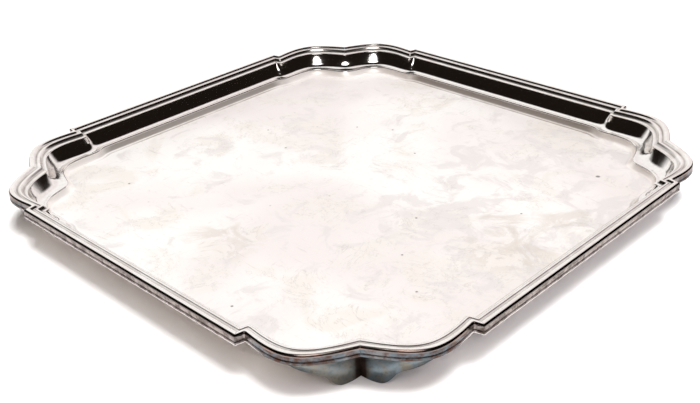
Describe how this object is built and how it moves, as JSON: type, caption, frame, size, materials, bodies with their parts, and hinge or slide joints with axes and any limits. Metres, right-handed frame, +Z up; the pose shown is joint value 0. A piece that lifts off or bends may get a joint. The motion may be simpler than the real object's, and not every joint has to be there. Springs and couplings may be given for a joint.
{
  "type": "square salver",
  "caption": "Square silver salver: flat well, stepped wall, moulded border with lobed cusped corners, and low cast bracket feet.",
  "frame": {"origin": "on the ground under the middle of the well", "axes": "+Z up; the straight sides face +X, +Y, -X and -Y"},
  "size_m": [0.3044, 0.3044, 0.0213],
  "materials": {
    "plate": "worn polished silver plate",
    "border": "polished silver with tarnish in the grooves",
    "foot": "blue-grey tarnished silver"
  },
  "bodies": {
    "root": {"tray_body": "plate", "border_right": "border", "border_back": "border", "border_left": "border", "border_front": "border", "border_lobe_back_right_a": "border", "border_lobe_back_right_b": "border", "border_lobe_back_left_a": "border", "border_lobe_back_left_b": "border", "border_lobe_front_left_a": "border", "border_lobe_front_left_b": "border", "border_lobe_front_right_a": "border", "border_lobe_front_right_b": "border", "foot_back_right": "foot", "foot_back_left": "foot", "foot_front_left": "foot", "foot_front_right": "foot"}
  },
  "joints": []
}
